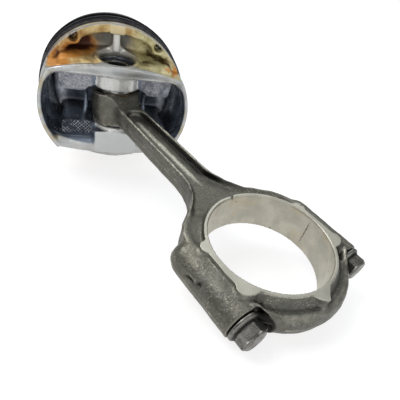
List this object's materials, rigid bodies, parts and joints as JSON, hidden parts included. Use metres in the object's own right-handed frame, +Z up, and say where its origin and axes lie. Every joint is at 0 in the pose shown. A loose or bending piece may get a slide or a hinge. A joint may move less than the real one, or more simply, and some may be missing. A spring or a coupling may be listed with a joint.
{
  "type": "piston",
  "caption": "Engine piston with rings, wrist pin, forged connecting rod and bolted big-end cap; the piston swings on its floating pin.",
  "frame": {"origin": "centre of the bounding box on the surface the assembly lies on", "axes": "+Z up, +X along the rod from the piston to the big end, in plan; the rod dips towards the big end and is rolled a little, as it rests"},
  "size_m": [0.2326, 0.1026, 0.0965],
  "materials": {
    "piston_metal": "cast with machined edges, oil-stained",
    "ring_steel": "dark nitrided steel",
    "ring_iron": "dark phosphated iron",
    "rail_steel": "dark steel",
    "pin_steel": "ground",
    "circlip_steel": "spring steel",
    "bushing_bronze": "turned bronze",
    "forged_steel": "forged and shot-peened, big end machined bright",
    "bolt_steel": "oiled steel"
  },
  "bodies": {
    "rod": {"connecting_rod": "forged_steel", "small_end_bushing": "bushing_bronze", "rod_cap": "forged_steel", "cap_bolt_near": "bolt_steel", "cap_bolt_far": "bolt_steel"},
    "piston": {"piston": "piston_metal", "circlip_upper": "circlip_steel", "circlip_lower": "circlip_steel"},
    "pin": {"wrist_pin": "pin_steel"},
    "top_ring": {"top_compression_ring": "ring_steel"},
    "second_ring": {"second_compression_ring": "ring_iron"},
    "upper_rail": {"oil_ring_upper_rail": "rail_steel"},
    "expander": {"oil_ring_expander": "rail_steel"},
    "lower_rail": {"oil_ring_lower_rail": "rail_steel"}
  },
  "joints": [
    {"name": "piston_swing", "type": "hinge", "parent": "rod", "child": "piston", "pos_m": [-0.06889, -0.00315, 0.0445], "axis": [0.1837, -0.125, 0.975], "range_deg": [-34, 80]},
    {"name": "pin_turn", "type": "hinge", "parent": "rod", "child": "pin", "pos_m": [-0.06889, -0.00315, 0.0445], "axis": [0.1837, -0.125, 0.975], "continuous": true},
    {"name": "top_ring_turn", "type": "hinge", "parent": "piston", "child": "top_ring", "pos_m": [-0.06889, -0.00315, 0.0445], "axis": [-0.8948, 0.3893, 0.2185], "continuous": true},
    {"name": "second_ring_turn", "type": "hinge", "parent": "piston", "child": "second_ring", "pos_m": [-0.06889, -0.00315, 0.0445], "axis": [-0.8948, 0.3893, 0.2185], "continuous": true},
    {"name": "upper_rail_turn", "type": "hinge", "parent": "piston", "child": "upper_rail", "pos_m": [-0.06889, -0.00315, 0.0445], "axis": [-0.8948, 0.3893, 0.2185], "continuous": true},
    {"name": "expander_turn", "type": "hinge", "parent": "piston", "child": "expander", "pos_m": [-0.06889, -0.00315, 0.0445], "axis": [-0.8948, 0.3893, 0.2185], "continuous": true},
    {"name": "lower_rail_turn", "type": "hinge", "parent": "piston", "child": "lower_rail", "pos_m": [-0.06889, -0.00315, 0.0445], "axis": [-0.8948, 0.3893, 0.2185], "continuous": true}
  ]
}
